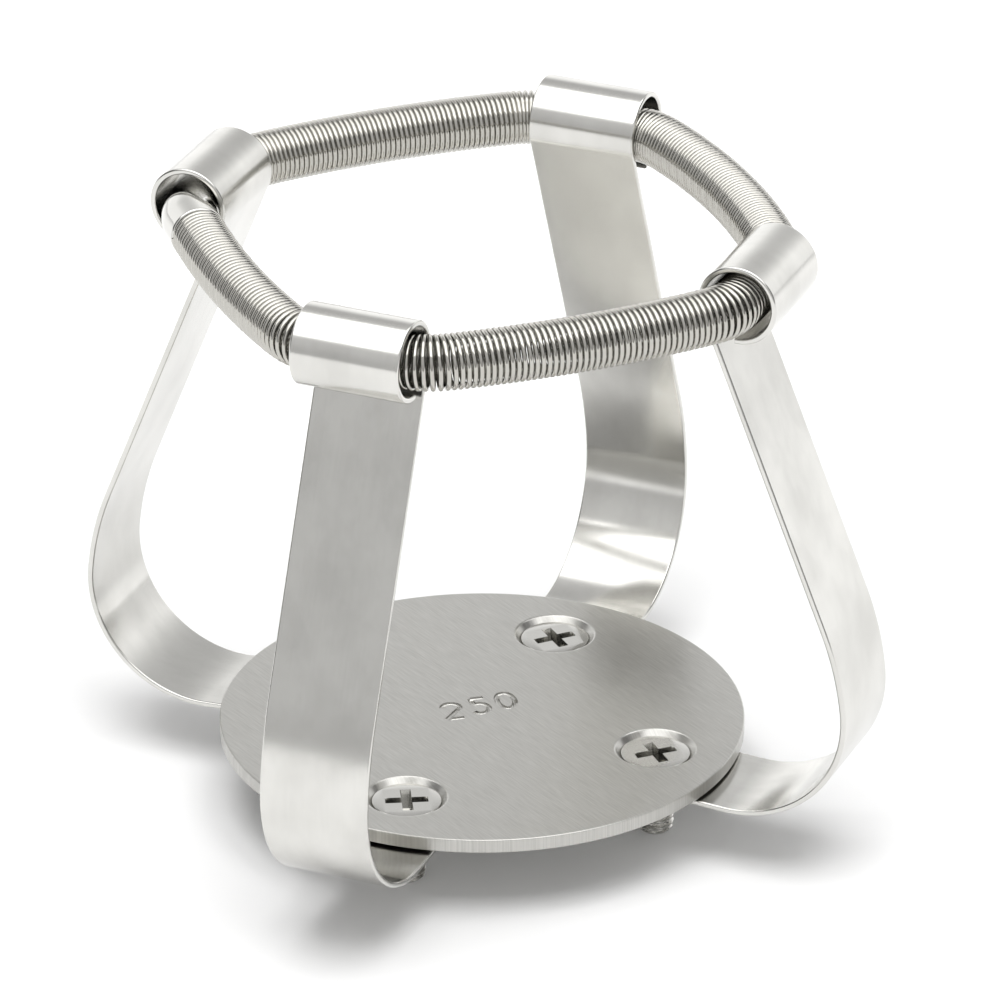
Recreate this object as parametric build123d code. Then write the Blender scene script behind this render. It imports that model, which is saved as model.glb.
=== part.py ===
from build123d import *
import math
import os

# Shaker flask clamp for a conical flask: a round disc that is screwed to a shaker's platform,
# four sprung legs of stainless strip that end in rolled eyes, and a closed girdle of coil spring
# that runs through the eyes. The legs stand along +X, +Y, -X and -Y.
# The origin is on the disc's axis, level with the screws' tips, on which the clamp stands.

# The flask that the clamp is sized for: a 250 ml conical flask.
flask_diameter = 85.0
flask_clearance = 2.0

# Disc.
disc_diameter = 58.0
disc_thickness = 1.6
disc_edge_chamfer = 0.2

# Legs: strip of spring stainless, sizes along the strip's middle line.
strip_width = 12.4
strip_thickness = 0.65
strip_inner_end = 12.0
strip_corner_radius = 2.0
strip_edge_chamfer = 0.15
droop_start = 22.0
droop_radius = 20.0
droop_angle = 3.0
foot_bend_radius = 13.05
knee_radius = 34.9
knee_angle = 16.0
lean_angle = 22.0
eye_height = 59.9
eye_inside_diameter = 7.6
eye_roll_angle = 295.0

# Screws: No. 8 countersunk machine screws, three eighths of an inch long.
screw_circle_radius = 20.7
screw_length = 9.5
screw_head_diameter = 7.6
screw_head_edge = 0.3
screw_head_angle = 82.0
screw_sink = 0.5
thread_diameter = 4.16
thread_neck_diameter = 3.4
thread_tip_chamfer = 0.6
hole_clearance = 0.25
recess_span = 4.3
recess_slot_width = 1.0
recess_depth = 1.9
recess_tip_share = 0.45
recess_turns = {"right": 45.0, "back": 48.0, "left": 15.0, "front": 28.0}

# Girdle spring: outside diameter, wire and the line that its middle follows. It turns in at each eye's
# mouths and bows out a little between them. The turns are for the two ends of each quarter, from the
# left leg's eye, whose near mouth holds the joiner's bend, round to the front, right and back ones.
spring_diameter = 6.1
wire_diameter = 0.6
turn_pitch = 0.65
turns_per_ridge = 7
bore_sides = 8
seat_gap = 0.05
eye_straight_half = 4.8
mouth_bend_radius = 7.0
mouth_turns = ((40.0, 37.5), (37.5, 37.5), (34.0, 34.0), (37.5, 37.5))
bow_share = 0.97

# Joiner between the spring's two ends: straight in the left leg's eye and bent where it leaves it,
# with a short straight tail past the bend.
joiner_far_end = 0.8
joiner_tail = 3.0
joiner_spigot_length = 1.2
joiner_spigot_clearance = 0.25

# Number stamped in the disc: the flask's volume in millilitres.
digit_height = 4.2
digit_width = 2.6
digit_stroke = 0.45
digit_depth = 0.2
digit_step = 3.2
digit_turn = 36.0
digit_row_turn = 46.0
digit_row_centre = (-1.0, 1.5)

leg_turns = {"right": 0.0, "back": 90.0, "left": 180.0, "front": 270.0}

# Heights, from the screws' tips upwards.
disc_bottom = screw_length + screw_sink - disc_thickness
disc_top = disc_bottom + disc_thickness
head_top = disc_top - screw_sink

# Sizes that follow from the ones above.
head_slope = math.tan(math.radians(screw_head_angle / 2))
hole_rim_radius = screw_head_diameter / 2 + (screw_sink + screw_head_edge) * head_slope
cone_radius_under_disc = hole_rim_radius - disc_thickness * head_slope
strip_hole_radius = cone_radius_under_disc + hole_clearance
eye_line_radius = (eye_inside_diameter + strip_thickness) / 2
leg_reach = flask_diameter / 2 + flask_clearance + strip_thickness / 2


def heading(angle):
    return (math.cos(math.radians(angle)), math.sin(math.radians(angle)))


def leg_line():
    """The strip's middle line in the leg's own plane, from under the disc to the eye's free end."""
    level = disc_bottom - strip_thickness / 2
    foot_turn = 90 + lean_angle - knee_angle + droop_angle
    bend_start = leg_reach - foot_bend_radius * (1 + math.sin(math.radians(droop_angle)))
    flat = Line((strip_inner_end, level), (droop_start, level))
    droop = JernArc(flat @ 1, (1, 0), droop_radius, -droop_angle)
    run = bend_start - (droop @ 1).X
    down = run * math.tan(math.radians(droop_angle))
    slope = Line(droop @ 1, (bend_start, (droop @ 1).Y - down))
    foot = JernArc(slope @ 1, heading(-droop_angle), foot_bend_radius, foot_turn)
    knee_heading = heading(foot_turn - droop_angle)
    knee = JernArc(foot @ 1, knee_heading, knee_radius, knee_angle)
    up = heading(90 + lean_angle)
    roll_start = disc_bottom + eye_height + eye_line_radius * up[0]
    rise = (roll_start - (knee @ 1).Y) / up[1]
    straight = Line(knee @ 1, ((knee @ 1).X + rise * up[0], roll_start))
    eye = JernArc(straight @ 1, up, eye_line_radius, -eye_roll_angle)
    return [flat, droop, slope, foot, knee, straight, eye]


def eye_centre():
    """Radius and height of the eyes' axis."""
    up = heading(90 + lean_angle)
    straight = leg_line()[5]
    return (straight @ 1).X + eye_line_radius * up[1], disc_bottom + eye_height


def make_leg(turn):
    """One strip, bent along the leg's line, with a hole that the screw passes through."""
    line = Wire(leg_line())
    upright = Plane(origin=(0, 0, 0), x_dir=(1, 0, 0), z_dir=(0, -1, 0))
    path = upright.from_local_coords(line)
    section = Plane(path @ 0, x_dir=(0, 1, 0), z_dir=path % 0) * Rectangle(strip_width, strip_thickness)
    strip = sweep(section, path=path)
    corners = strip.edges().filter_by(Axis.Z).group_by(Axis.X)[0]
    strip = fillet(corners, strip_corner_radius)
    sides = strip.edges().filter_by(lambda edge: abs(edge.center().Y) > strip_width / 2 - strip_corner_radius)
    long_sides = sides.filter_by(lambda edge: not math.isclose(edge.length, strip_thickness, rel_tol=0.01))
    strip = chamfer(long_sides, strip_edge_chamfer)
    hole = Cylinder(strip_hole_radius, 4 * strip_thickness)
    strip -= Pos(screw_circle_radius, 0, disc_bottom - strip_thickness / 2) * hole
    return Rot(0, 0, turn) * strip


def screw_places():
    for name, turn in leg_turns.items():
        x, y = heading(turn)
        yield name, (screw_circle_radius * x, screw_circle_radius * y)


def digit_strokes():
    """The three digits as lines of points in a box one unit wide and one high, from its centre."""
    nought = [(heading(turn)[0] / 2, heading(turn)[1] / 2) for turn in range(0, 361, 30)]
    hook = [(-0.45, 0.25), (-0.3, 0.43), (0.0, 0.5), (0.3, 0.43), (0.45, 0.25), (0.4, 0.02)]
    two = hook + [(-0.5, -0.5), (0.5, -0.5)]
    belly = [(-0.38, 0.06), (0.05, 0.14), (0.38, 0.0), (0.48, -0.2), (0.32, -0.42), (0.0, -0.5)]
    five = [(0.4, 0.5), (-0.32, 0.5)] + belly + [(-0.45, -0.38)]
    return [two, five, nought]


def make_number():
    """The grooves of the stamped number, each digit a little askew as struck by hand."""
    grooves = []
    row = heading(digit_row_turn)
    size = (digit_width - digit_stroke, digit_height - digit_stroke)
    for place, stroke in enumerate(digit_strokes()):
        points = [(x * size[0], y * size[1]) for x, y in stroke]
        shape = Sketch()
        for start, end in zip(points, points[1:]):
            run = math.dist(start, end)
            turn = math.degrees(math.atan2(end[1] - start[1], end[0] - start[0]))
            middle = ((start[0] + end[0]) / 2, (start[1] + end[1]) / 2)
            shape += Pos(*middle) * Rot(0, 0, turn) * SlotCenterToCenter(run, digit_stroke)
        along = (place - 1) * digit_step
        x = digit_row_centre[0] + along * row[0]
        y = digit_row_centre[1] + along * row[1]
        placed = Pos(x, y, disc_top - digit_depth) * Rot(0, 0, digit_turn) * shape
        grooves.append(extrude(placed, 2 * digit_depth))
    return grooves


def make_disc():
    disc = Pos(0, 0, disc_bottom) * extrude(Circle(disc_diameter / 2), disc_thickness)
    disc = chamfer(disc.edges(), disc_edge_chamfer)
    for name, (x, y) in screw_places():
        lower = cone_radius_under_disc - head_slope * disc_thickness
        upper = hole_rim_radius + head_slope * disc_thickness
        cone = Cone(lower, upper, 3 * disc_thickness)
        disc -= Pos(x, y, disc_bottom + disc_thickness / 2) * cone
    for groove in make_number():
        disc -= groove
    return disc


def make_screw(x, y, turn):
    """Head with its cross recess, plain neck through the strip, and shank over the thread's crests."""
    head_radius = screw_head_diameter / 2
    neck_radius = thread_neck_diameter / 2
    cone_height = (head_radius - neck_radius) / head_slope
    cone_top = head_top - screw_head_edge
    neck_end = disc_bottom - strip_thickness - 2 * hole_clearance
    standing = (Align.CENTER, Align.CENTER, Align.MIN)
    shank = Cylinder(thread_diameter / 2, neck_end, align=standing)
    shank = chamfer(shank.edges().group_by(Axis.Z)[0], thread_tip_chamfer)
    neck = Pos(0, 0, neck_end) * Cylinder(neck_radius, cone_top - neck_end, align=standing)
    cone = Cone(neck_radius, head_radius, cone_height, align=standing)
    edge = Pos(0, 0, cone_top) * Cylinder(head_radius, screw_head_edge, align=standing)
    body = shank + neck + Pos(0, 0, cone_top - cone_height) * cone + edge
    low = head_top - recess_depth
    for arm in (0, 90):
        top = Pos(0, 0, head_top) * Rot(0, 0, arm) * Rectangle(recess_span, recess_slot_width)
        share = recess_tip_share
        tip = Rectangle(recess_span * share, recess_slot_width * share)
        tip = Pos(0, 0, low) * Rot(0, 0, arm) * tip
        body -= loft([tip, top])
    return Pos(x, y, 0) * Rot(0, 0, turn) * body


def crossing(start, angle, other_start, other_angle):
    """Where two lines in plan meet, each given by a point on it and its heading."""
    ahead = heading(angle)
    other = heading(other_angle)
    gap = (other_start[0] - start[0], other_start[1] - start[1])
    run = (gap[0] * other[1] - gap[1] * other[0]) / (ahead[0] * other[1] - ahead[1] * other[0])
    return (start[0] + run * ahead[0], start[1] + run * ahead[1])


def widest_radius(corner, before, before_reach, after, after_reach, turn):
    """The largest bend at a corner that still leaves a short straight on each side of it."""
    room = min(math.dist(corner, before) - before_reach, math.dist(corner, after) - after_reach)
    return bow_share * room / math.tan(math.radians(turn / 2))


def spring_seat():
    """Reach and height of the spring in an eye, where it lies against the eye's inner side.
    It bends inward before it leaves the eye, so that it touches at the eye's mouths."""
    eye_radius, eye_level = eye_centre()
    play = (eye_inside_diameter - spring_diameter) / 2 - seat_gap
    lean = heading(lean_angle)
    inside_bend = mouth_bend_radius - spring_diameter / 2
    past = min(max(strip_width / 2 - eye_straight_half, 0) / inside_bend, 1)
    sag = inside_bend * (1 - math.cos(math.asin(past)))
    return eye_radius - play * lean[0] + sag, eye_level - play * lean[1]


def joiner_line():
    """The joiner's middle line, from its end in the eye round its bend to the tail's end."""
    reach, level = spring_seat()
    straight = Line((-reach, joiner_far_end), (-reach, -eye_straight_half))
    bend = JernArc(straight @ 1, straight % 1, mouth_bend_radius, mouth_turns[0][0])
    tail = Line(bend @ 1, bend @ 1 + (bend % 1) * joiner_tail)
    return Pos(0, 0, level) * (straight + bend + tail)


def spring_line():
    """The spring's middle line from the joiner's tail round to its end in the eye."""
    reach, level = spring_seat()
    points = []
    radii = []
    for quarter, turns in enumerate(mouth_turns):
        reaches = [mouth_bend_radius * math.tan(math.radians(turn / 2)) for turn in turns]
        first = (-reach, -eye_straight_half - reaches[0])
        second = (-eye_straight_half - reaches[1], -reach)
        middle = crossing(first, turns[0] - 90, second, -turns[1])
        held = 0 if quarter else joiner_tail
        bow = widest_radius(middle, first, reaches[0] + held, second, reaches[1], 90 - turns[0] - turns[1])
        spots = [Vector(*spot).rotate(Axis.Z, 90 * quarter) for spot in (first, middle, second)]
        points += [(spot.X, spot.Y) for spot in spots]
        radii += [mouth_bend_radius, bow, mouth_bend_radius]
    start = joiner_line() @ 1
    points[0] = (start.X, start.Y)
    path = FilletPolyline(*points, (-reach, joiner_far_end), radius=radii[1:])
    return Pos(0, 0, level) * path


def make_spring():
    """The coil as a tube with ridges: each ridge stands for a few turns, which lie too close to cut.
    Its bore, which never shows, has flat sides."""
    path = spring_line()
    ridges = round(path.length / (turn_pitch * turns_per_ridge))
    outer = spring_diameter / 2
    groove = outer - wire_diameter / 2
    rings = []
    for step in range(2 * ridges + 1):
        place = step / (2 * ridges)
        across = Plane(path @ place, x_dir=(0, 0, 1), z_dir=path % place)
        rings.append(Wire.make_circle(outer if step % 2 else groove, across))
    start = Plane(path @ 0, x_dir=(0, 0, 1), z_dir=path % 0)
    hollow = RegularPolygon(outer - wire_diameter, bore_sides, major_radius=False)
    return Solid.make_loft(rings, ruled=True) - sweep(start * hollow, path=path)


def make_joiner():
    """A smooth bent rod with a thinner spigot at each end, over which the spring's ends are pushed."""
    path = joiner_line()
    outer = spring_diameter / 2
    spigot = outer - wire_diameter - joiner_spigot_clearance
    joiner = sweep(Plane(path @ 0, z_dir=path % 0) * Circle(outer), path=path)
    for end, way in ((0, -1), (1, 1)):
        face = Plane(path @ end, z_dir=(path % end) * way)
        joiner += extrude(face * Circle(spigot), joiner_spigot_length)
    return joiner


def main():
    os.makedirs("parts", exist_ok=True)
    pieces = {"base_disc": make_disc()}
    for name, turn in leg_turns.items():
        pieces["leg_" + name] = make_leg(turn)
    for name, (x, y) in screw_places():
        pieces["screw_" + name] = make_screw(x, y, recess_turns[name])
    pieces["girdle_spring"] = make_spring()
    pieces["spring_joiner"] = make_joiner()
    for name, piece in pieces.items():
        export_step(piece, "parts/" + name + ".step")


main()
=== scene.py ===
import math

import bmesh
import bpy
from mathutils import Matrix, Vector


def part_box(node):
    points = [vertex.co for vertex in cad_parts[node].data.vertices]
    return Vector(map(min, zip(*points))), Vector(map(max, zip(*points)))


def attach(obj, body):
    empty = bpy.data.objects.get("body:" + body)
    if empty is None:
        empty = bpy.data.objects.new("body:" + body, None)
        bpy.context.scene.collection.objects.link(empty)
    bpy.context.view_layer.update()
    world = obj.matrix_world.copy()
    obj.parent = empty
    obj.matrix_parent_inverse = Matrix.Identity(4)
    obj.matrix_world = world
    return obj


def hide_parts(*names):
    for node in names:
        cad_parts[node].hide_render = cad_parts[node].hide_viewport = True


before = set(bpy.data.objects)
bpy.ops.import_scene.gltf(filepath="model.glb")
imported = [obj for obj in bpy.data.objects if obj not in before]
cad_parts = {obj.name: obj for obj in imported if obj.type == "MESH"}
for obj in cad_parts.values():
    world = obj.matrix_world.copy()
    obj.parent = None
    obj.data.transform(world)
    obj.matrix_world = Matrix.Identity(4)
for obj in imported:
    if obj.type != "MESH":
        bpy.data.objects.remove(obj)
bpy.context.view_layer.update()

# Sizes of the clamp in millimetres. What the frame can tell is read from it.
MM = 0.001
leg_turns = {"leg_right": 0, "leg_back": 90, "leg_left": 180, "leg_front": 270}


def extent(node):
    """A node's lowest and highest corner in millimetres."""
    low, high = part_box(node)
    return low / MM, high / MM


disc_low, disc_high = extent("base_disc")
leg_low, leg_high = extent("leg_right")
screw_low, screw_high = extent("screw_right")
joiner_low, joiner_high = extent("spring_joiner")

disc_radius = disc_high.x
disc_bottom = disc_low.z
disc_top = disc_high.z
disc_rim_rounding = 0.16
disc_sides = 256

# A leg: flat under the disc, drooping a little beyond it, bent up at foot and knee, rolled into an eye.
strip_width = leg_high.y - leg_low.y
strip_thickness = 0.65
strip_edge_radius = 0.22
strip_inner_end = leg_low.x
strip_corner_radius = 2.0
droop_start = 22.0
droop_radius = 20.0
droop_angle = 3.0
foot_bend_radius = 13.05
knee_radius = 34.9
knee_angle = 16.0
lean_angle = 22.0
eye_height = 59.9
eye_inside_diameter = 7.6
eye_roll_angle = 295.0
leg_reach = leg_high.x - strip_thickness / 2
arc_step_degrees = 2.0
strip_step = 2.0
corner_step = 0.2

# The screws, the holes they go through, and how far each one's recess is turned.
screw_circle_radius = (screw_low.x + screw_high.x) / 2
screw_head_radius = (screw_high.x - screw_low.x) / 2
screw_head_top = screw_high.z
screw_head_edge = 0.3
countersink_angle = 82.0
screw_head_slope = math.tan(math.radians(countersink_angle / 2))
screw_sink = disc_top - screw_head_top
thread_radius = 2.08
thread_core_radius = 1.62
thread_pitch = 0.794
neck_radius = 1.7
strip_hole_radius = 3.35
strip_hole_sides = 72
hole_rim_radius = screw_head_radius + (screw_sink + screw_head_edge) * screw_head_slope
hole_rim_rounding = 0.36
hole_sides = 96
recess_turns = {"screw_right": 45, "screw_back": 48, "screw_left": 15, "screw_front": 28}

# The girdle: straight in each eye, bent at the eye's mouths and bowed between two eyes.
spring_diameter = joiner_high.z - joiner_low.z
wire_diameter = 0.58
spring_level = (joiner_high.z + joiner_low.z) / 2
spring_reach = -joiner_low.x - spring_diameter / 2
eye_straight_half = 4.8
mouth_bend_radius = 7.0
mouth_turns = ((40.0, 37.5), (37.5, 37.5), (34.0, 34.0), (37.5, 37.5))
bow_share = 0.97
joiner_spigot_length = 1.2
joiner_far_end = joiner_high.y - joiner_spigot_length
joiner_spigot_radius = 2.05
joiner_turn = mouth_turns[0][0]
joiner_tail = 3.0
spring_step = 0.4

# The coil's turns lie a little closer in some quarters than in others: millimetres from turn to turn
# for the quarters from the left leg round to the front, right and back legs. A coil is too stiff to
# follow a bend's start and end exactly, so its line is averaged over a short reach each way.
wire_steps = (0.688, 0.657, 0.592, 0.592)
coil_samples = 28
coil_ease = 2.6
coil_line_step = 0.2
wire_sides = 9

# The stamped number.
digit_height = 4.2
digit_width = 2.6
digit_groove_radius = 0.33
digit_groove_depth = 0.36
digit_step = 3.2
digit_turn = 36.0
digit_row_turn = 46.0
digit_row_centre = (-1.0, 1.5)

# The screws' cross recess and thread, and the joiner's ends. The head's grid has lines in the recess's
# slot, close beside its walls, between the walls and the tips, and down the tips' slopes.
recess_span = 4.7
recess_slot_width = 1.05
recess_depth = 2.0
recess_tip_share = 0.74
recess_edge = 0.06
slot_grid = (0.0, 0.2)
slot_lead = 0.1
head_grid = (0.7, 0.9, 1.1, 1.3, 1.5)
tip_steps = 6
tip_lead = 0.12
head_rounding = 0.08
thread_end = 7.25
thread_tip_chamfer = 0.6
thread_run_out = 1.2
thread_crest_share = 0.07
thread_root_share = 0.44
thread_rings_per_pitch = 12
screw_sides = 40
joiner_end_rounding = 0.25
spigot_rounding = 0.2
joiner_rings = 44
joiner_sides = 96

# Steps in a rounded corner, and how far in from it a profile's next point lies if it gives only the way.
rounding_steps = 4
inset = 0.5

# The finishes' patterns in metres, and the way in which the disc is brushed in degrees.
grain_turn = -32.0
brush_line_length = 0.0035
brush_line_width = 0.00016
brush_line_depth = 0.01
roll_line_length = 0.012
roll_line_width = 0.00022
line_height = 0.00001
cloud_size = 0.007
stain_length = 0.01
stain_width = 0.007

# The camera: turns in degrees, distances in millimetres. The lens is given by its focal length in pixels.
picture_height = 1000
film_width = 36.0
camera_around = 23.236
camera_above = 26.621
camera_roll = -0.054
camera_distance = 904.1
camera_target = (-1.301, 6.147, 33.254)
camera_focus_pixels = 8225

# Brightness of the studio's walls against white, by degrees above the horizon. A ramp of colours goes
# up to white only, so it holds shares of the brightest level that a wall may have. Each wall fades into
# the dark sides between two cosines of the angle from its middle.
wall_behind = ((0, 1.4), (20, 1.35), (26, 1.0), (31, 0.75), (37, 0.58), (60, 0.7))
wall_by_camera = ((0, 0.58), (20, 0.71), (40, 0.78))
wall_beside = 0.05
wall_edge = (0.3, 0.62)
ramp_top = 2.0

# The floor and the lamps in metres, with levels and glows against white, and the spot's power in watts.
studio_back = (-math.sin(math.radians(camera_around)), math.cos(math.radians(camera_around)), 0.0)
floor_half = 3.0
floor_front = 0.42
floor_glow = 0.04
# Painted glow: over a stretch behind the middle, the floor's glow rises to a brighter level, painted light
# that brightens the floor towards the back.
painted_back_glow = 0.35
painted_glow_start = 0.04
painted_glow_end = 0.22
lamp_height = 1.0
softbox_width = 2.1
softbox_depth = 1.28
softbox_shift = -0.14
softbox_level = 1.8
spot_width = 0.85
spot_depth = 0.8
spot_power = 13.6
spot_shift = -0.3


def linear(code):
    """An sRGB hex colour as Blender's linear colour."""
    parts = [int(code[place:place + 2], 16) / 255 for place in (1, 3, 5)]
    return [part / 12.92 if part <= 0.04045 else ((part + 0.055) / 1.055) ** 2.4 for part in parts] + [1.0]


def add(tree, kind, inputs=None, **settings):
    """Adds one node with its settings, and gives its inputs values or links. Returns the node."""
    node = tree.nodes.new(kind)
    for name, value in settings.items():
        setattr(node, name, value)
    for key, value in (inputs or {}).items():
        if isinstance(value, bpy.types.NodeSocket):
            tree.links.new(value, node.inputs[key])
        else:
            node.inputs[key].default_value = value
    return node


def heading(degrees):
    """The unit vector at an angle in plan."""
    return Vector((math.cos(math.radians(degrees)), math.sin(math.radians(degrees))))


def arc_points(start, degrees, radius, turn):
    """Points along an arc that starts at a heading and turns left, or right where the turn is negative."""
    side = 1 if turn > 0 else -1
    centre = start + side * radius * heading(degrees + 90)
    steps = max(2, round(abs(turn) / arc_step_degrees))
    spokes = [heading(degrees + 90 + turn * step / steps) for step in range(1, steps + 1)]
    return [centre - side * radius * spoke for spoke in spokes]


def line_points(start, end, longest):
    """Points along a straight line after its start, no farther apart than a length."""
    steps = max(1, math.ceil((end - start).length / longest))
    return [start.lerp(end, step / steps) for step in range(1, steps + 1)]


def leg_profile():
    """The strip's middle line from its end under the disc to the eye's tip, as (radius, height)."""
    foot_turn = 90 + lean_angle - knee_angle + droop_angle
    bend_start = leg_reach - foot_bend_radius * (1 + math.sin(math.radians(droop_angle)))
    line = [Vector((strip_inner_end, disc_bottom - strip_thickness / 2))]
    line += line_points(line[-1], Vector((strip_inner_end + strip_corner_radius, line[-1].y)), corner_step)
    line += line_points(line[-1], Vector((droop_start, line[-1].y)), strip_step)
    line += arc_points(line[-1], 0, droop_radius, -droop_angle)
    run = bend_start - line[-1].x
    drop = run * math.tan(math.radians(droop_angle))
    line += line_points(line[-1], line[-1] + Vector((run, -drop)), strip_step)
    line += arc_points(line[-1], -droop_angle, foot_bend_radius, foot_turn)
    line += arc_points(line[-1], foot_turn - droop_angle, knee_radius, knee_angle)
    eye_radius = (eye_inside_diameter + strip_thickness) / 2
    up = heading(90 + lean_angle)
    rise = (disc_bottom + eye_height + eye_radius * up.x - line[-1].y) / up.y
    line += line_points(line[-1], line[-1] + rise * up, strip_step)
    line += arc_points(line[-1], 90 + lean_angle, eye_radius, -eye_roll_angle)
    return line


def crossing(start, degrees, other_start, other_degrees):
    """Where two lines in plan meet, each given by a point on it and its heading."""
    ahead, other, gap = heading(degrees), heading(other_degrees), other_start - start
    return start + ahead * ((gap.x * other.y - gap.y * other.x) / (ahead.x * other.y - ahead.y * other.x))


def spring_quarters():
    """The spring's middle line in plan, one list of points for each quarter, from the joiner's tail on."""
    quarters = []
    for quarter, (first_turn, second_turn) in enumerate(mouth_turns):
        first_reach = mouth_bend_radius * math.tan(math.radians(first_turn / 2))
        second_reach = mouth_bend_radius * math.tan(math.radians(second_turn / 2))
        first = Vector((-spring_reach, -eye_straight_half - first_reach))
        second = Vector((-eye_straight_half - second_reach, -spring_reach))
        out, back = first_turn - 90, -second_turn
        middle = crossing(first, out, second, back)
        held = 0 if quarter else joiner_tail
        room = min((middle - first).length - first_reach - held, (middle - second).length - second_reach)
        bow_reach = bow_share * room
        line = [Vector((-spring_reach, 0))]
        line += line_points(line[-1], first + Vector((0, first_reach)), spring_step)
        line += arc_points(line[-1], -90, mouth_bend_radius, first_turn)
        if held:
            line.append(line[-1] + held * heading(out))
        seam = len(line) - 1
        line += line_points(line[-1], middle - bow_reach * heading(out), spring_step)
        line += arc_points(line[-1], out, bow_reach / math.tan(math.radians((back - out) / 2)), back - out)
        line += line_points(line[-1], second - second_reach * heading(back), spring_step)
        line += arc_points(line[-1], back, mouth_bend_radius, second_turn)
        line += line_points(line[-1], Vector((0, -spring_reach)), spring_step)
        turned = Matrix.Rotation(math.radians(90 * quarter), 2)
        quarters.append([turned @ spot for spot in (line[seam:] if quarter == 0 else line)])
    end = Vector((-spring_reach, joiner_far_end))
    quarters[-1] = [spot for spot in quarters[-1] if spot.x > -spring_reach + 1e-6 or spot.y > end.y]
    quarters[-1].append(end)
    return quarters


def chain_object(name, points, turns=None):
    """A chain of edges through points in millimetres, with the wire's turns up to each point if given."""
    mesh = bpy.data.meshes.new(name)
    edges = [(place, place + 1) for place in range(len(points) - 1)]
    mesh.from_pydata([Vector(point) * MM for point in points], edges, [])
    if turns:
        mesh.attributes.new("turns", "FLOAT", "POINT").data.foreach_set("value", turns)
    piece = bpy.data.objects.new(name, mesh)
    bpy.context.scene.collection.objects.link(piece)
    return piece


def node_tree(name, sizes):
    """An empty Geometry Nodes tree with a named input for each size."""
    tree = bpy.data.node_groups.new(name, "GeometryNodeTree")
    tree.interface.new_socket("Geometry", in_out="INPUT", socket_type="NodeSocketGeometry")
    for size in sizes:
        kind = "NodeSocketInt" if size.startswith("Count") else "NodeSocketFloat"
        tree.interface.new_socket(size, in_out="INPUT", socket_type=kind)
    tree.interface.new_socket("Finish", in_out="INPUT", socket_type="NodeSocketMaterial")
    tree.interface.new_socket("Geometry", in_out="OUTPUT", socket_type="NodeSocketGeometry")
    return tree, add(tree, "NodeGroupInput"), add(tree, "NodeGroupOutput")


def finish_tree(tree, given, output, geometry):
    """Ends a tree: its instances are made real and given their material."""
    real = add(tree, "GeometryNodeRealizeInstances", {"Geometry": geometry})
    painted = add(tree, "GeometryNodeSetMaterial",
                  {"Geometry": real.outputs[0], "Material": given.outputs["Finish"]})
    tree.links.new(painted.outputs[0], output.inputs[0])


def grown(name, seed, tree, values, finish):
    """Runs a tree on a seed object and keeps the result as a plain mesh under its own name."""
    modifier = seed.modifiers.new("shape", "NODES")
    modifier.node_group = tree
    values = dict(values, Finish=finish)
    for item in tree.interface.items_tree:
        if item.in_out == "INPUT" and item.name in values:
            modifier[item.identifier] = values[item.name]
    return baked(name, seed)


def baked(name, seed):
    """The evaluated object as a plain mesh at the origin. The seed is removed."""
    bpy.context.view_layer.update()
    evaluated = seed.evaluated_get(bpy.context.evaluated_depsgraph_get())
    mesh = bpy.data.meshes.new_from_object(evaluated)
    bpy.data.objects.remove(seed)
    mesh.name = name
    piece = bpy.data.objects.new(name, mesh)
    bpy.context.scene.collection.objects.link(piece)
    return piece


def even(piece, sharpest=35):
    """Smooth shading in which wide faces stay flat, and edges sharper than an angle stay edges."""
    piece.data.shade_smooth()
    piece.data.set_sharp_from_angle(angle=math.radians(sharpest))
    weighted = piece.modifiers.new("even", "WEIGHTED_NORMAL")
    weighted.keep_sharp = True
    return baked(piece.name, piece)


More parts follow.
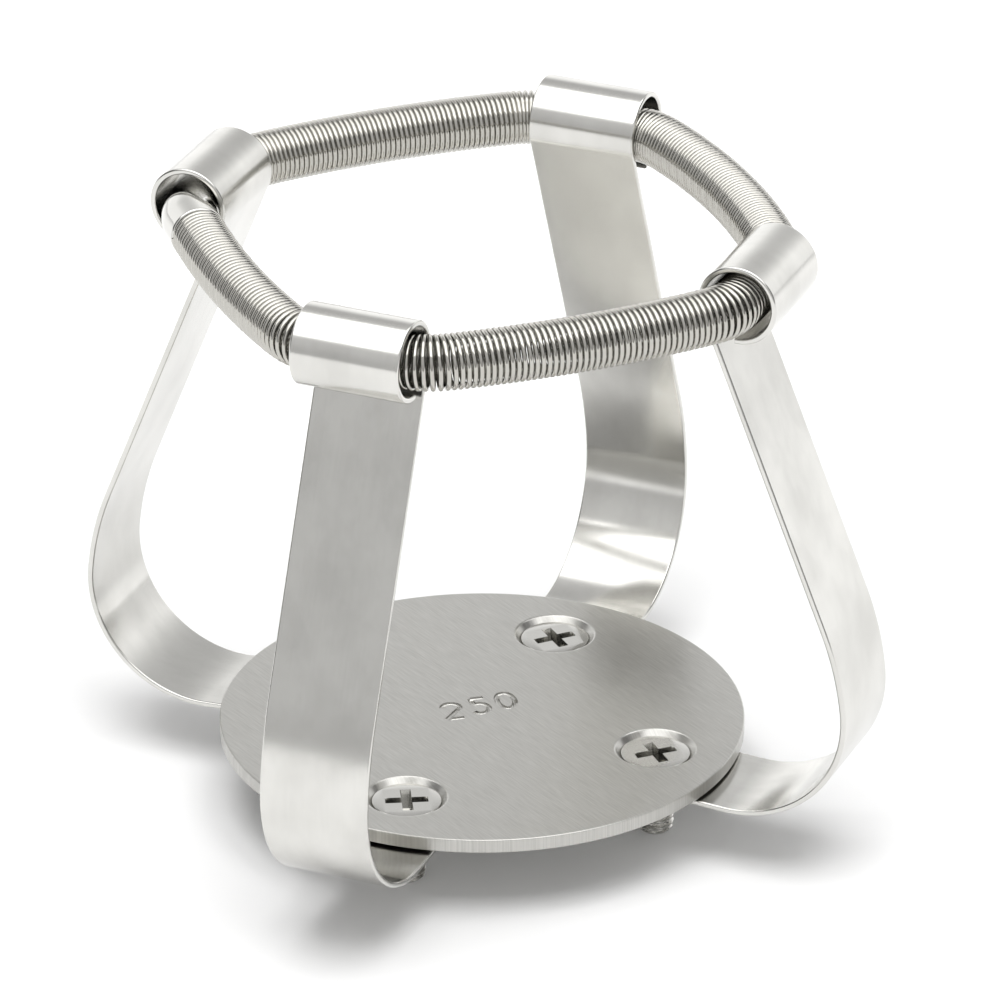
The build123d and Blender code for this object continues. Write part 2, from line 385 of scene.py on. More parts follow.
def bent_strip_tree():
    """Sweeps a strip's rounded section along its line, rounds its inner end and cuts the screw's hole."""
    sizes = ["Width", "Thickness", "Edge Radius", "Corner Radius", "Inner End"]
    sizes += ["Hole Radius", "Hole Place", "Hole Level", "Turn"]
    tree, given, output = node_tree("bent_strip", sizes)
    size = given.outputs
    chain = add(tree, "GeometryNodeMeshToCurve", {"Mesh": size["Geometry"]})
    length = add(tree, "GeometryNodeSplineParameter").outputs["Length"]
    line = add(tree, "GeometryNodeStoreNamedAttribute",
               {"Geometry": chain.outputs[0], "Name": "along", "Value": length},
               data_type="FLOAT", domain="POINT")
    outline = add(tree, "GeometryNodeCurvePrimitiveQuadrilateral",
                  {"Width": size["Width"], "Height": size["Thickness"]})
    rounded = add(tree, "GeometryNodeFilletCurve",
                  {"Curve": outline.outputs[0], "Count": rounding_steps, "Radius": size["Edge Radius"]},
                  mode="POLY")
    place = add(tree, "ShaderNodeSeparateXYZ", {0: add(tree, "GeometryNodeInputPosition").outputs[0]})
    section = add(tree, "GeometryNodeStoreNamedAttribute",
                  {"Geometry": rounded.outputs[0], "Name": "across", "Value": place.outputs["X"]},
                  data_type="FLOAT", domain="POINT")
    swept = add(tree, "GeometryNodeCurveToMesh",
                {"Curve": line.outputs[0], "Profile Curve": section.outputs[0], "Fill Caps": True})
    along = add(tree, "GeometryNodeInputNamedAttribute", {"Name": "along"}, data_type="FLOAT")
    across = add(tree, "GeometryNodeInputNamedAttribute", {"Name": "across"}, data_type="FLOAT")
    both = add(tree, "ShaderNodeCombineXYZ", {"X": along.outputs[0], "Y": across.outputs[0]})
    mapped = add(tree, "GeometryNodeStoreNamedAttribute",
                 {"Geometry": swept.outputs[0], "Name": "UVMap", "Value": both.outputs[0]},
                 data_type="FLOAT2", domain="CORNER")
    corner_end = add(tree, "ShaderNodeMath",
                     {0: size["Inner End"], 1: size["Corner Radius"]}, operation="ADD")
    into = add(tree, "ShaderNodeMath",
               {0: corner_end.outputs[0], 1: place.outputs["X"]}, operation="SUBTRACT")
    above = add(tree, "ShaderNodeMath", {0: into.outputs[0], 1: 0.0}, operation="MAXIMUM")
    depth = add(tree, "ShaderNodeMath",
                {0: above.outputs[0], 1: size["Corner Radius"]}, operation="MINIMUM")
    depth_squared = add(tree, "ShaderNodeMath",
                        {0: depth.outputs[0], 1: depth.outputs[0]}, operation="MULTIPLY")
    radius_squared = add(tree, "ShaderNodeMath",
                         {0: size["Corner Radius"], 1: size["Corner Radius"]}, operation="MULTIPLY")
    left = add(tree, "ShaderNodeMath",
               {0: radius_squared.outputs[0], 1: depth_squared.outputs[0]}, operation="SUBTRACT")
    chord = add(tree, "ShaderNodeMath", {0: left.outputs[0]}, operation="SQRT")
    lost = add(tree, "ShaderNodeMath",
               {0: size["Corner Radius"], 1: chord.outputs[0]}, operation="SUBTRACT")
    half = add(tree, "ShaderNodeMath", {0: size["Width"], 1: 0.5}, operation="MULTIPLY")
    share = add(tree, "ShaderNodeMath", {0: lost.outputs[0], 1: half.outputs[0]}, operation="DIVIDE")
    shift = add(tree, "ShaderNodeMath",
                {0: place.outputs["Y"], 1: share.outputs[0]}, operation="MULTIPLY")
    inward = add(tree, "ShaderNodeMath", {0: shift.outputs[0], 1: -1.0}, operation="MULTIPLY")
    offset = add(tree, "ShaderNodeCombineXYZ", {"Y": inward.outputs[0]})
    ended = add(tree, "GeometryNodeSetPosition",
                {"Geometry": mapped.outputs[0], "Offset": offset.outputs[0]})
    drill = add(tree, "GeometryNodeMeshCylinder",
                {"Vertices": strip_hole_sides, "Radius": size["Hole Radius"], "Depth": size["Width"]})
    spot = add(tree, "ShaderNodeCombineXYZ", {"X": size["Hole Place"], "Z": size["Hole Level"]})
    placed = add(tree, "GeometryNodeTransform",
                 {"Geometry": drill.outputs[0], "Translation": spot.outputs[0]})
    cut = add(tree, "GeometryNodeMeshBoolean",
              {"Mesh 1": ended.outputs[0], "Mesh 2": placed.outputs[0]},
              operation="DIFFERENCE", solver="EXACT")
    spin = add(tree, "ShaderNodeCombineXYZ", {"Z": size["Turn"]})
    turned = add(tree, "GeometryNodeTransform", {"Geometry": cut.outputs[0], "Rotation": spin.outputs[0]})
    finish_tree(tree, given, output, turned.outputs[0])
    return tree


def close_coil_tree():
    """Winds a wire round a line whose points say how many turns the wire has made."""
    sizes = ["Count Samples", "Count Sides", "Coil Radius", "Wire Radius"]
    tree, given, output = node_tree("close_coil", sizes)
    size = given.outputs
    chain = add(tree, "GeometryNodeMeshToCurve", {"Mesh": size["Geometry"]})
    line = add(tree, "GeometryNodeResampleCurve",
               {"Curve": chain.outputs[0], "Count": size["Count Samples"]}, mode="COUNT")
    turns = add(tree, "GeometryNodeInputNamedAttribute", {"Name": "turns"}, data_type="FLOAT")
    turned = add(tree, "ShaderNodeMath", {0: turns.outputs[0], 1: math.tau}, operation="MULTIPLY")
    tilted = add(tree, "GeometryNodeSetCurveTilt", {"Curve": line.outputs[0], "Tilt": turned.outputs[0]})
    side = add(tree, "GeometryNodeInputNormal")
    reach = add(tree, "ShaderNodeVectorMath",
                {0: side.outputs[0], "Scale": size["Coil Radius"]}, operation="SCALE")
    wound = add(tree, "GeometryNodeSetPosition",
                {"Geometry": tilted.outputs[0], "Offset": reach.outputs[0]})
    level = add(tree, "GeometryNodeSetCurveTilt", {"Curve": wound.outputs[0], "Tilt": 0.0})
    section = add(tree, "GeometryNodeCurvePrimitiveCircle",
                  {"Resolution": size["Count Sides"], "Radius": size["Wire Radius"]})
    wire = add(tree, "GeometryNodeCurveToMesh",
               {"Curve": level.outputs[0], "Profile Curve": section.outputs[0], "Fill Caps": True})
    finish_tree(tree, given, output, wire.outputs[0])
    return tree


def threaded_screw_tree():
    """Joins a screw's head to a shank with a real thread, and sets the screw in its place."""
    sizes = ["Radius", "Core Radius", "Pitch", "Length", "Tip Chamfer", "Run Out"]
    sizes += ["Place X", "Place Y", "Turn", "Count Rings"]
    tree, given, output = node_tree("threaded_screw", sizes)
    size = given.outputs
    blank = add(tree, "GeometryNodeMeshCylinder",
                {"Vertices": screw_sides, "Side Segments": size["Count Rings"],
                 "Radius": size["Radius"], "Depth": size["Length"]})
    half = add(tree, "ShaderNodeMath", {0: size["Length"], 1: 0.5}, operation="MULTIPLY")
    lift = add(tree, "ShaderNodeCombineXYZ", {"Z": half.outputs[0]})
    raised = add(tree, "GeometryNodeTransform",
                 {"Geometry": blank.outputs[0], "Translation": lift.outputs[0]})
    place = add(tree, "ShaderNodeSeparateXYZ", {0: add(tree, "GeometryNodeInputPosition").outputs[0]})
    angle = add(tree, "ShaderNodeMath",
                {0: place.outputs["Y"], 1: place.outputs["X"]}, operation="ARCTAN2")
    angle_share = add(tree, "ShaderNodeMath", {0: angle.outputs[0], 1: math.tau}, operation="DIVIDE")
    rise = add(tree, "ShaderNodeMath", {0: place.outputs["Z"], 1: size["Pitch"]}, operation="DIVIDE")
    phase = add(tree, "ShaderNodeMath",
                {0: rise.outputs[0], 1: angle_share.outputs[0]}, operation="SUBTRACT")
    saw = add(tree, "ShaderNodeMath", {0: phase.outputs[0]}, operation="FRACT")
    from_crest = add(tree, "ShaderNodeMath", {0: saw.outputs[0], 1: 0.5}, operation="SUBTRACT")
    flank = add(tree, "ShaderNodeMath", {0: from_crest.outputs[0]}, operation="ABSOLUTE")
    run_start = add(tree, "ShaderNodeMath",
                    {0: size["Length"], 1: size["Run Out"]}, operation="SUBTRACT")
    fade = add(tree, "ShaderNodeMapRange",
               {"Value": place.outputs["Z"], "From Min": run_start.outputs[0],
                "From Max": size["Length"], "To Min": 1.0, "To Max": 0.0})
    groove = add(tree, "ShaderNodeMapRange",
                 {"Value": flank.outputs[0], "From Min": thread_crest_share, "From Max": thread_root_share})
    cut = add(tree, "ShaderNodeMath", {0: groove.outputs[0], 1: fade.outputs[0]}, operation="MULTIPLY")
    thread_depth = add(tree, "ShaderNodeMath",
                       {0: size["Radius"], 1: size["Core Radius"]}, operation="SUBTRACT")
    deep = add(tree, "ShaderNodeMath",
               {0: cut.outputs[0], 1: thread_depth.outputs[0]}, operation="MULTIPLY")
    threaded = add(tree, "ShaderNodeMath", {0: size["Radius"], 1: deep.outputs[0]}, operation="SUBTRACT")
    bevel_start = add(tree, "ShaderNodeMath",
                      {0: size["Radius"], 1: size["Tip Chamfer"]}, operation="SUBTRACT")
    bevel = add(tree, "ShaderNodeMath",
                {0: bevel_start.outputs[0], 1: place.outputs["Z"]}, operation="ADD")
    radius = add(tree, "ShaderNodeMath",
                 {0: threaded.outputs[0], 1: bevel.outputs[0]}, operation="MINIMUM")
    share = add(tree, "ShaderNodeMath", {0: radius.outputs[0], 1: size["Radius"]}, operation="DIVIDE")
    new_x = add(tree, "ShaderNodeMath",
                {0: place.outputs["X"], 1: share.outputs[0]}, operation="MULTIPLY")
    new_y = add(tree, "ShaderNodeMath",
                {0: place.outputs["Y"], 1: share.outputs[0]}, operation="MULTIPLY")
    moved = add(tree, "ShaderNodeCombineXYZ",
                {"X": new_x.outputs[0], "Y": new_y.outputs[0], "Z": place.outputs["Z"]})
    shank = add(tree, "GeometryNodeSetPosition",
                {"Geometry": raised.outputs[0], "Position": moved.outputs[0]})
    whole = add(tree, "GeometryNodeMeshBoolean",
                {"Mesh 2": shank.outputs[0]}, operation="UNION", solver="EXACT")
    tree.links.new(size["Geometry"], whole.inputs["Mesh 2"])
    spot = add(tree, "ShaderNodeCombineXYZ", {"X": size["Place X"], "Y": size["Place Y"]})
    spin = add(tree, "ShaderNodeCombineXYZ", {"Z": size["Turn"]})
    placed = add(tree, "GeometryNodeTransform",
                 {"Geometry": whole.outputs[0], "Translation": spot.outputs[0], "Rotation": spin.outputs[0]})
    finish_tree(tree, given, output, placed.outputs[0])
    return tree


def mesh_object(name, made):
    """A bmesh as a new object, with its faces turned outwards."""
    bmesh.ops.recalc_face_normals(made, faces=made.faces)
    mesh = bpy.data.meshes.new(name)
    made.to_mesh(mesh)
    made.free()
    piece = bpy.data.objects.new(name, mesh)
    bpy.context.scene.collection.objects.link(piece)
    return piece


def turned_into(made, profile, count, centre=(0, 0)):
    """Adds a solid turned from a profile of (radius, height) points, with a flat face at each end."""
    rings = []
    for radius, height in profile:
        ring = []
        for step in range(count):
            spoke = heading(360 * step / count) * radius
            ring.append(made.verts.new(Vector((centre[0] + spoke.x, centre[1] + spoke.y, height)) * MM))
        rings.append(ring)
    for lower, upper in zip(rings, rings[1:]):
        for step in range(count):
            after = (step + 1) % count
            made.faces.new((lower[step], lower[after], upper[after], upper[step]))
    made.faces.new(rings[0])
    made.faces.new(rings[-1])


def rounding(corner, before, after, radius):
    """Points of the arc that rounds off a corner, given the points before and after it."""
    corner, before, after = Vector(corner), Vector(before), Vector(after)
    to_before, to_after = (before - corner).normalized(), (after - corner).normalized()
    half = to_before.angle(to_after) / 2
    tangent = radius / math.tan(half)
    centre = corner + (to_before + to_after).normalized() * (radius / math.sin(half))
    first = (corner + to_before * tangent - centre).normalized()
    last = (corner + to_after * tangent - centre).normalized()
    between = [first.slerp(last, step / rounding_steps) for step in range(rounding_steps + 1)]
    return [tuple(centre + spoke * radius) for spoke in between]


def rounded_profile(points, radii):
    """A profile's points with its inner corners rounded."""
    made = [points[0]]
    for place in range(1, len(points) - 1):
        radius = radii[place - 1]
        if radius:
            made += rounding(points[place], points[place - 1], points[place + 1], radius)
        else:
            made.append(points[place])
    return made + [points[-1]]


def digit_strokes():
    """The three digits' strokes in a box one unit wide and high round the origin."""
    nought = [heading(turn) / 2 for turn in range(0, 361, 15)]
    hook = [Vector((0, 0.22)) + Vector((heading(turn).x / 2, heading(turn).y * 0.28))
            for turn in range(175, -31, -15)]
    diagonal = [hook[-1], Vector((-0.5, -0.5))]
    foot = [Vector((-0.5, -0.5)), Vector((0.5, -0.5))]
    belly = [Vector((0.0, -0.17)) + Vector((heading(turn).x / 2, heading(turn).y * 0.33))
             for turn in range(125, -146, -15)]
    back = [Vector((-0.34, 0.5)), belly[0]]
    flag = [Vector((-0.34, 0.5)), Vector((0.42, 0.5))]
    return [[hook + [diagonal[1]], foot], [belly, back, flag], [nought]]


def number_cutter():
    """Round bars that lie half sunk in the disc along the strokes of the number 250."""
    curve = bpy.data.curves.new("number_cutter", "CURVE")
    curve.dimensions = "3D"
    curve.bevel_depth = digit_groove_radius * MM
    curve.bevel_resolution = 3
    curve.use_fill_caps = True
    level = disc_top + digit_groove_radius - digit_groove_depth
    turn = Matrix.Rotation(math.radians(digit_turn), 2)
    size = Vector((digit_width - 2 * digit_groove_radius, digit_height - 2 * digit_groove_radius))
    for place, strokes in enumerate(digit_strokes()):
        centre = Vector(digit_row_centre) + heading(digit_row_turn) * digit_step * (place - 1)
        for stroke in strokes:
            spline = curve.splines.new("POLY")
            spline.points.add(len(stroke) - 1)
            for point, spot in zip(spline.points, stroke):
                flat = centre + turn @ Vector((spot.x * size.x, spot.y * size.y))
                point.co = (flat.x * MM, flat.y * MM, level * MM, 1)
    cutter = bpy.data.objects.new("number_cutter", curve)
    bpy.context.scene.collection.objects.link(cutter)
    return baked("number_cutter", cutter)


def make_disc(finish):
    """The disc with its rounded rim, four countersunk holes and the stamped number."""
    blank = bmesh.new()
    low, high, rim = disc_bottom, disc_top, disc_radius
    corners = [(rim - inset, low), (rim, low), (rim, high), (rim - inset, high)]
    turned_into(blank, rounded_profile(corners, [disc_rim_rounding, disc_rim_rounding])[1:-1], disc_sides)
    disc = mesh_object("disc_blank", blank)
    drill = bmesh.new()
    past = 1.0
    under = hole_rim_radius - (high - low + past) * screw_head_slope
    corners = [(under, low - past), (hole_rim_radius, high), (hole_rim_radius + past, high)]
    flare = rounded_profile(corners, [hole_rim_rounding])[:-1]
    flare.append((flare[-1][0], high + past))
    for turn in leg_turns.values():
        turned_into(drill, flare, hole_sides, heading(turn) * screw_circle_radius)
    holes = mesh_object("hole_cutter", drill)
    number = number_cutter()
    for cutter in (holes, number):
        cut = disc.modifiers.new("cut", "BOOLEAN")
        cut.operation = "DIFFERENCE"
        cut.solver = "EXACT"
        cut.use_self = cutter is number
        cut.object = cutter
    piece = baked("disc_sheet", disc)
    for cutter in (holes, number):
        bpy.data.objects.remove(cutter)
    piece.data.materials.clear()
    piece.data.materials.append(finish)
    grain_map(piece)
    return even(piece)


def grain_map(piece):
    """Lays a map over the disc from above, with its first axis along the brushing."""
    layer = piece.data.uv_layers.new(name="UVMap")
    along = heading(grain_turn)
    for loop in piece.data.loops:
        spot = piece.data.vertices[loop.vertex_index].co
        layer.data[loop.index].uv = (spot.x * along.x + spot.y * along.y, spot.y * along.x - spot.x * along.y)


def make_leg(name, turn, tree, finish):
    """One sprung leg, swept along its profile and turned to its side of the disc."""
    line = [(spot.x, 0, spot.y) for spot in leg_profile()]
    values = {"Width": strip_width * MM, "Thickness": strip_thickness * MM,
              "Edge Radius": strip_edge_radius * MM, "Corner Radius": strip_corner_radius * MM,
              "Inner End": strip_inner_end * MM, "Hole Radius": strip_hole_radius * MM,
              "Hole Place": screw_circle_radius * MM,
              "Hole Level": (disc_bottom - strip_thickness / 2) * MM, "Turn": math.radians(turn)}
    return even(grown(name, chain_object(name + "_line", line), tree, values, finish))


def eased_line(quarters):
    """The spring's line in even steps, each point averaged with those around it, and its quarter."""
    path = [quarters[0][0]]
    numbers = [0]
    for number, quarter in enumerate(quarters):
        for spot in quarter:
            if (spot - path[-1]).length > coil_line_step / 2:
                steps = line_points(path[-1], spot, coil_line_step)
                path += steps
                numbers += [number] * len(steps)
    reach = round(coil_ease / coil_line_step)
    eased = []
    for place in range(len(path)):
        wide = min(reach, place, len(path) - 1 - place)
        near = path[place - wide:place + wide + 1]
        eased.append(sum(near, Vector((0, 0))) / len(near))
    return eased, numbers


def make_spring(tree, finish):
    """The coil of fine wire round the spring's line."""
    coil_radius = (spring_diameter - wire_diameter) / 2
    path, numbers = eased_line(spring_quarters())
    turns = [0.0]
    for before, after, number in zip(path, path[1:], numbers[1:]):
        turns.append(turns[-1] + (after - before).length / wire_steps[number])
    line = [(spot.x, spot.y, spring_level) for spot in path]
    values = {"Count Samples": round(turns[-1] * coil_samples), "Count Sides": wire_sides,
              "Coil Radius": coil_radius * MM, "Wire Radius": wire_diameter / 2 * MM}
    piece = grown("girdle_coil", chain_object("coil_line", line, turns), tree, values, finish)
    piece.data.shade_smooth()
    return piece


def recess_depth_at(x, y):
    """How deep the cross recess is at a point of the head's top."""
    deepest = 0.0
    for along, across in ((abs(x), abs(y)), (abs(y), abs(x))):
        half = recess_span / 2
        sink = min(1.0, max(0.0, (half - along) / (half * (1 - recess_tip_share))))
        wall = min(1.0, max(0.0, (recess_slot_width / 2 + recess_edge - across) / (2 * recess_edge)))
        deepest = max(deepest, recess_depth * sink * wall * wall * (3 - 2 * wall))
    return deepest


def make_head(name):
    """A screw's countersunk head with its cross recess, cut on a grid that is finest along its walls."""
    half = recess_slot_width / 2
    tip = recess_span / 2 * recess_tip_share
    slope = recess_span / 2 - tip
    lines = [*slot_grid, half - slot_lead, half - recess_edge, half - recess_edge / 2]
    lines += [half, half + recess_edge / 2, half + recess_edge, *head_grid]
    lines += [tip + slope * step / tip_steps for step in range(tip_steps + 1)] + [tip + slope + tip_lead]
    lines = [-line for line in reversed(lines[1:])] + lines
    made = bmesh.new()
    grid = [[made.verts.new(Vector((x, y, screw_head_top - recess_depth_at(x, y))) * MM) for x in lines]
            for y in lines]
    last = len(lines) - 1
    for row in range(last):
        for column in range(last):
            made.faces.new((grid[row][column], grid[row][column + 1], grid[row + 1][column + 1],
                            grid[row + 1][column]))
    border = [grid[0][place] for place in range(last)] + [grid[place][last] for place in range(last)]
    border += [grid[last][last - place] for place in range(last)]
    border += [grid[last - place][0] for place in range(last)]
    cone_top = screw_head_top - screw_head_edge
    cone_end = cone_top - (screw_head_radius - neck_radius) / screw_head_slope
    corners = [(screw_head_radius - inset, screw_head_top), (screw_head_radius, screw_head_top),
               (screw_head_radius, cone_top), (neck_radius, cone_end)]
    profile = rounded_profile(corners, [head_rounding, head_rounding])[1:]
    ring = border
    for radius, height in profile:
        outer = []
        for vertex in border:
            spoke = Vector(vertex.co.xy).normalized() * radius
            outer.append(made.verts.new(Vector((spoke.x, spoke.y, height)) * MM))
        for place in range(len(ring)):
            after = (place + 1) % len(ring)
            made.faces.new((ring[place], ring[after], outer[after], outer[place]))
        ring = outer
    made.faces.new(ring)
    return mesh_object(name, made)


def make_screw(name, turn, recess_turn, tree, finish):
    """One countersunk screw in its place, with its recess turned as the screw came to rest."""
    place = heading(turn) * screw_circle_radius
    rings = round(thread_end / thread_pitch * thread_rings_per_pitch)
    values = {"Radius": thread_radius * MM, "Core Radius": thread_core_radius * MM,
              "Pitch": thread_pitch * MM, "Length": thread_end * MM, "Tip Chamfer": thread_tip_chamfer * MM,
              "Run Out": thread_run_out * MM, "Place X": place.x * MM, "Place Y": place.y * MM,
              "Turn": math.radians(recess_turn), "Count Rings": rings}
    return even(grown(name, make_head(name + "_head"), tree, values, finish), sharpest=30)


def joiner_place(along):
    """Middle and heading of the joiner at a distance from its straight end."""
    straight = joiner_far_end + eye_straight_half
    turned = min(max((along - straight) / mouth_bend_radius, 0), math.radians(joiner_turn))
    past = along - straight - turned * mouth_bend_radius
    way = heading(math.degrees(turned) - 90)
    bent = Vector((1 - math.cos(turned), -math.sin(turned))) * mouth_bend_radius
    return Vector((-spring_reach, -eye_straight_half)) + bent + way * past, way


def make_joiner(finish):
    """The smooth bent barrel between the spring's ends, which are pushed over its spigots."""
    made = bmesh.new()
    radius, spigot, past = spring_diameter / 2, joiner_spigot_radius, joiner_spigot_length
    bend = mouth_bend_radius * math.radians(joiner_turn)
    length = joiner_far_end + eye_straight_half + bend + joiner_tail
    bend_rings = [(radius, length * step / joiner_rings) for step in range(1, joiner_rings)]
    corners = [(spigot - inset, -past), (spigot, -past), (spigot, 0), (radius, 0)] + bend_rings
    corners += [(radius, length), (spigot, length), (spigot, length + past), (spigot - inset, length + past)]
    radii = [spigot_rounding, 0, joiner_end_rounding] + [0] * len(bend_rings)
    radii += [joiner_end_rounding, 0, spigot_rounding]
    turned_into(made, rounded_profile(corners, radii)[1:-1], joiner_sides)
    for vertex in made.verts:
        middle, way = joiner_place(vertex.co.z / MM)
        across = vertex.co.x / MM
        vertex.co = Vector((middle.x - way.y * across, middle.y + way.x * across,
                            spring_level + vertex.co.y / MM)) * MM
    piece = mesh_object("joiner_barrel", made)
    piece.data.materials.append(finish)
    return even(piece)


def new_finish(name):
    """A material with a bare Principled shader. Returns the material, its tree and the shader."""
    finish = bpy.data.materials.new(name)
    finish.use_nodes = True
    tree = finish.node_tree
    tree.nodes.clear()
    shader = add(tree, "ShaderNodeBsdfPrincipled")
    add(tree, "ShaderNodeOutputMaterial", {"Surface": shader.outputs[0]})
    return finish, tree, shader


def brushed_stainless():
    """Disc: stainless sheet with a fine short brushing one way, which spreads each reflection across it.
    Its lines are drawn three times as wide as the grit leaves them, because finer ones wouldn't show."""
    finish, tree, shader = new_finish("brushed_stainless_sheet")
    shader.inputs["Metallic"].default_value = 1.0
    shader.inputs["Anisotropic"].default_value = 0.4
    spot = add(tree, "ShaderNodeTexCoord").outputs["Object"]
    turned = add(tree, "ShaderNodeMapping", {"Vector": spot, "Rotation": (0, 0, math.radians(-grain_turn))})
    lines = add(tree, "ShaderNodeMapping",
                {"Vector": turned.outputs[0],
                 "Scale": (1 / brush_line_length, 1 / brush_line_width, 1 / brush_line_depth)})
    streaks = add(tree, "ShaderNodeTexNoise", {"Vector": lines.outputs[0], "Scale": 1.0, "Detail": 2.0,
                                               "Roughness": 0.6})
    clouds = add(tree, "ShaderNodeTexNoise", {"Vector": spot, "Scale": 1 / cloud_size, "Detail": 3.0})
    shade = add(tree, "ShaderNodeMapRange", {"Value": streaks.outputs[0], "From Min": 0.3, "From Max": 0.7})
    colour = add(tree, "ShaderNodeMix",
                 {"Factor": shade.outputs[0], 6: linear("#B0AFAB"), 7: linear("#C2C1BD")}, data_type="RGBA")
    tree.links.new(colour.outputs[2], shader.inputs["Base Color"])
    rough = add(tree, "ShaderNodeMapRange", {"Value": clouds.outputs[0], "From Min": 0.3, "From Max": 0.7,
                                             "To Min": 0.285, "To Max": 0.34})
    tree.links.new(rough.outputs[0], shader.inputs["Roughness"])
    bump = add(tree, "ShaderNodeBump",
               {"Height": streaks.outputs[0], "Strength": 0.15, "Distance": line_height})
    tree.links.new(bump.outputs[0], shader.inputs["Normal"])
    grain = add(tree, "ShaderNodeTangent", direction_type="UV_MAP", uv_map="UVMap")
    tree.links.new(grain.outputs[0], shader.inputs["Tangent"])
    return finish


def rolled_strip():
    """Legs: bright rolled spring strip, nearly a mirror, with the faint cloudy patches that handling
    leaves and with the rolls' fine lines along it, which draw each reflection out a little."""
    finish, tree, shader = new_finish("bright_rolled_strip")
    shader.inputs["Metallic"].default_value = 1.0
    laid = add(tree, "ShaderNodeUVMap", uv_map="UVMap")
    lines = add(tree, "ShaderNodeMapping",
                {"Vector": laid.outputs[0], "Scale": (1 / roll_line_length, 1 / roll_line_width, 1)})
    rolled = add(tree, "ShaderNodeTexNoise", {"Vector": lines.outputs[0], "Scale": 1.0, "Detail": 2.0,
                                              "Roughness": 0.6})
    patches = add(tree, "ShaderNodeMapping",
                  {"Vector": laid.outputs[0], "Scale": (1 / stain_length, 1 / stain_width, 1)})
    clouds = add(tree, "ShaderNodeTexNoise", {"Vector": patches.outputs[0], "Scale": 1.0, "Detail": 4.0,
                                              "Roughness": 0.55})
    stains = add(tree, "ShaderNodeMapRange", {"Value": clouds.outputs[0], "From Min": 0.36, "From Max": 0.62})
    both = add(tree, "ShaderNodeMix", {"Factor": 0.3, 2: stains.outputs[0], 3: rolled.outputs[0]})
    shade = add(tree, "ShaderNodeMapRange", {"Value": both.outputs[0], "From Min": 0.1, "From Max": 0.85})
    colour = add(tree, "ShaderNodeMix",
                 {"Factor": shade.outputs[0], 6: linear("#CCCBC7"), 7: linear("#D8D7D3")}, data_type="RGBA")
    tree.links.new(colour.outputs[2], shader.inputs["Base Color"])
    rough = add(tree, "ShaderNodeMapRange", {"Value": clouds.outputs[0], "From Min": 0.3, "From Max": 0.7,
                                             "To Min": 0.2, "To Max": 0.14})
    tree.links.new(rough.outputs[0], shader.inputs["Roughness"])
    bump = add(tree, "ShaderNodeBump",
               {"Height": rolled.outputs[0], "Strength": 0.02, "Distance": line_height})
    tree.links.new(bump.outputs[0], shader.inputs["Normal"])
    return finish


def plain_bright(name, code, roughness, variation, patch_size):
    """Wire, barrel or screw: a bright metal whose polish varies a little from patch to patch, so that
    its highlights aren't all equally sharp."""
    finish, tree, shader = new_finish(name)
    shader.inputs["Metallic"].default_value = 1.0
    shader.inputs["Base Color"].default_value = linear(code)
    spot = add(tree, "ShaderNodeTexCoord").outputs["Object"]
    patches = add(tree, "ShaderNodeTexNoise", {"Vector": spot, "Scale": 1 / patch_size, "Detail": 3.0})
    rough = add(tree, "ShaderNodeMapRange",
                {"Value": patches.outputs[0], "From Min": 0.3, "From Max": 0.7,
                 "To Min": roughness - variation, "To Max": roughness + variation})
    tree.links.new(rough.outputs[0], shader.inputs["Roughness"])
    return finish


def seen_rays(tree):
    """One for rays that show what lies behind: straight to the camera, or by a mirror or glass."""
    rays = add(tree, "ShaderNodeLightPath")
    first = add(tree, "ShaderNodeMath",
                {0: rays.outputs["Is Camera Ray"], 1: rays.outputs["Is Glossy Ray"]}, operation="MAXIMUM")
    return add(tree, "ShaderNodeMath", {0: first.outputs[0], 1: rays.outputs["Is Transmission Ray"]},
               operation="MAXIMUM").outputs[0]


def lay_floor():
    """A sheet of paper that ends a little in front of the clamp and reaches far behind it."""
    back = Vector(studio_back)
    side = Vector((-back.y, back.x, 0))
    sheet = bmesh.new()
    corners = [(-floor_front, -floor_half), (-floor_front, floor_half), (floor_half, floor_half),
               (floor_half, -floor_half)]
    sheet.faces.new([sheet.verts.new(back * reach + side * across) for reach, across in corners])
    floor = mesh_object("floor", sheet)
    floor.data.materials.append(floor_paper())


def floor_paper():
    """Floor: flat matt white paper that glows a little for the rays that show it, and glows more towards the
    back, a painted light that stands in for a brighter floor behind the clamp.
    """
    finish, tree, shader = new_finish("white_paper")
    shader.inputs["Base Color"].default_value = linear("#EBEBEB")
    shader.inputs["Roughness"].default_value = 0.9
    shader.inputs["Specular IOR Level"].default_value = 0.1
    shader.inputs["Emission Color"].default_value = linear("#FFFFFF")
    spot = add(tree, "ShaderNodeTexCoord").outputs["Object"]
    behind = add(tree, "ShaderNodeVectorMath", {0: spot, 1: studio_back}, operation="DOT_PRODUCT")
    # Painted glow, rising over a stretch towards the back of the floor.
    swept = add(tree, "ShaderNodeMapRange",
                {"Value": behind.outputs["Value"], "From Min": painted_glow_start, "From Max": painted_glow_end,
                 "To Min": floor_glow, "To Max": painted_back_glow}, interpolation_type="SMOOTHSTEP")
    glow = add(tree, "ShaderNodeMath", {0: seen_rays(tree), 1: swept.outputs[0]}, operation="MULTIPLY")
    tree.links.new(glow.outputs[0], shader.inputs["Emission Strength"])
    return finish


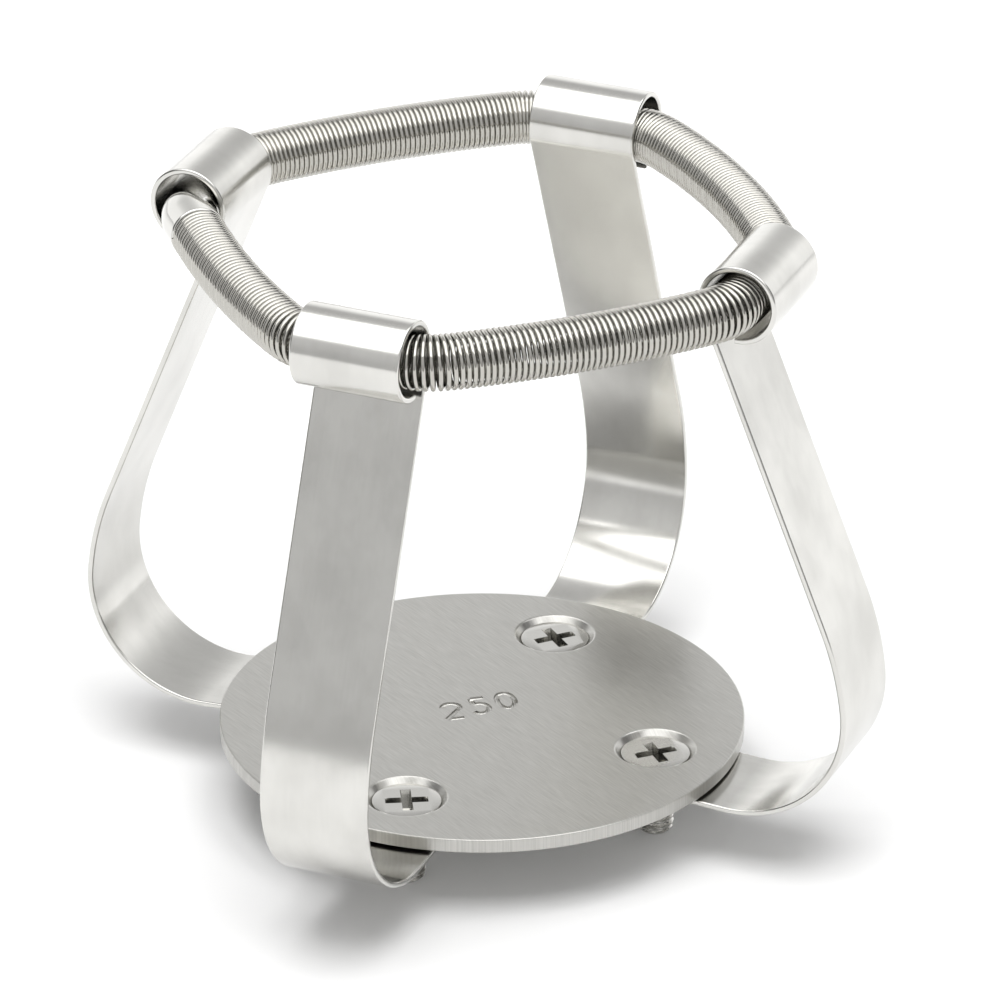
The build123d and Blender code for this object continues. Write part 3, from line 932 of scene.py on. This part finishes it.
def set_world():
    """A studio with a bright wall behind the object, a duller one by the camera, and dark sides."""
    world = bpy.data.worlds.new("studio")
    bpy.context.scene.world = world
    world.use_nodes = True
    tree = world.node_tree
    tree.nodes.clear()
    way = add(tree, "ShaderNodeTexCoord").outputs["Generated"]
    up = add(tree, "ShaderNodeSeparateXYZ", {0: way}).outputs["Z"]
    level = add(tree, "ShaderNodeVectorMath", {0: way, 1: (1, 1, 0)}, operation="MULTIPLY")
    flat = add(tree, "ShaderNodeVectorMath", {0: level.outputs["Vector"]}, operation="NORMALIZE")
    behind = add(tree, "ShaderNodeVectorMath", {0: flat.outputs["Vector"], 1: studio_back},
                 operation="DOT_PRODUCT").outputs["Value"]
    brightness = wall_beside
    for stops, side in ((wall_behind, 1), (wall_by_camera, -1)):
        wall = add(tree, "ShaderNodeValToRGB", {"Fac": up})
        for _ in stops[2:]:
            wall.color_ramp.elements.new(1.0)
        for stop, (above, shade) in zip(wall.color_ramp.elements, stops):
            stop.position = math.sin(math.radians(above))
            stop.color = [shade / ramp_top] * 3 + [1]
        turned = add(tree, "ShaderNodeMapRange",
                     {"Value": behind, "From Min": side * wall_edge[0], "From Max": side * wall_edge[1]},
                     interpolation_type="SMOOTHSTEP")
        whole = add(tree, "ShaderNodeMath", {0: wall.outputs["Color"], 1: ramp_top}, operation="MULTIPLY")
        mixed = add(tree, "ShaderNodeMix", {"Factor": turned.outputs[0], 2: brightness, 3: whole.outputs[0]})
        brightness = mixed.outputs[0]
    camera_ray = add(tree, "ShaderNodeLightPath").outputs["Is Camera Ray"]
    strength = add(tree, "ShaderNodeMix", {"Factor": camera_ray, 2: brightness, 3: 1.0})
    sky = add(tree, "ShaderNodeBackground", {"Color": linear("#FFFFFF"), "Strength": strength.outputs[0]})
    add(tree, "ShaderNodeOutputWorld", {"Surface": sky.outputs[0]})


def hang_lamp(name, width, depth, power, shift):
    """A flat lamp over the clamp, moved towards the studio's back by a distance."""
    lamp = bpy.data.lights.new(name, "AREA")
    lamp.shape = "RECTANGLE"
    lamp.size, lamp.size_y = width, depth
    lamp.energy = power
    light = bpy.data.objects.new(name, lamp)
    back = Vector(studio_back)
    light.location = back * shift + Vector((0, 0, lamp_height))
    light.rotation_euler = (0, 0, math.atan2(-back.x, back.y))
    light.visible_camera = False
    bpy.context.scene.collection.objects.link(light)
    return light


def hang_lamps():
    """A large softbox, which the metal mirrors, and a smaller lamp in front of it, which lights the floor."""
    power = math.pi * softbox_level * softbox_width * softbox_depth
    hang_lamp("softbox", softbox_width, softbox_depth, power, softbox_shift).visible_diffuse = False
    hang_lamp("spot", spot_width, spot_depth, spot_power, spot_shift)


def set_camera():
    """A long lens that looks down at a point above the middle of the clamp."""
    around, above = math.radians(camera_around), math.radians(camera_above)
    back = Vector((math.sin(around) * math.cos(above), -math.cos(around) * math.cos(above), math.sin(above)))
    lens = bpy.data.cameras.new("camera")
    lens.sensor_width = film_width
    lens.lens = film_width * camera_focus_pixels / picture_height
    lens.clip_end = 20
    camera = bpy.data.objects.new("camera", lens)
    bpy.context.scene.collection.objects.link(camera)
    camera.location = (Vector(camera_target) + back * camera_distance) * MM
    roll = Matrix.Rotation(math.radians(camera_roll), 4, "Z")
    camera.rotation_euler = (back.to_track_quat("Z", "Y").to_matrix().to_4x4() @ roll).to_euler()
    bpy.context.scene.camera = camera


def ride(piece, slot, *nodes):
    """Puts a piece on the clamp's one body in place of its solids. The colour slot is not used."""
    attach(piece, "root")
    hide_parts(*nodes)


disc_finish = brushed_stainless()
strip_finish = rolled_strip()
wire_finish = plain_bright("bright_drawn_wire", "#BAB8B2", 0.1, variation=0.03, patch_size=0.004)
barrel_finish = plain_bright("polished_barrel", "#CCCBC7", 0.09, variation=0.02, patch_size=0.003)
screw_finish = plain_bright("bright_plated_screw", "#CBCAC6", 0.16, variation=0.04, patch_size=0.002)

ride(make_disc(disc_finish), "disc_steel", "base_disc")
leg_tree = bent_strip_tree()
for leg, turn in leg_turns.items():
    ride(make_leg(leg + "_strip", turn, leg_tree, strip_finish), "strip_steel", leg)
screw_tree = threaded_screw_tree()
for (screw, recess_turn), turn in zip(recess_turns.items(), leg_turns.values()):
    ride(make_screw(screw + "_threaded", turn, recess_turn, screw_tree, screw_finish), "screw_steel", screw)
ride(make_spring(close_coil_tree(), wire_finish), "spring_wire", "girdle_spring")
ride(make_joiner(barrel_finish), "joiner_steel", "spring_joiner")

lay_floor()
set_world()
hang_lamps()
set_camera()
bpy.context.scene.view_settings.view_transform = "Standard"
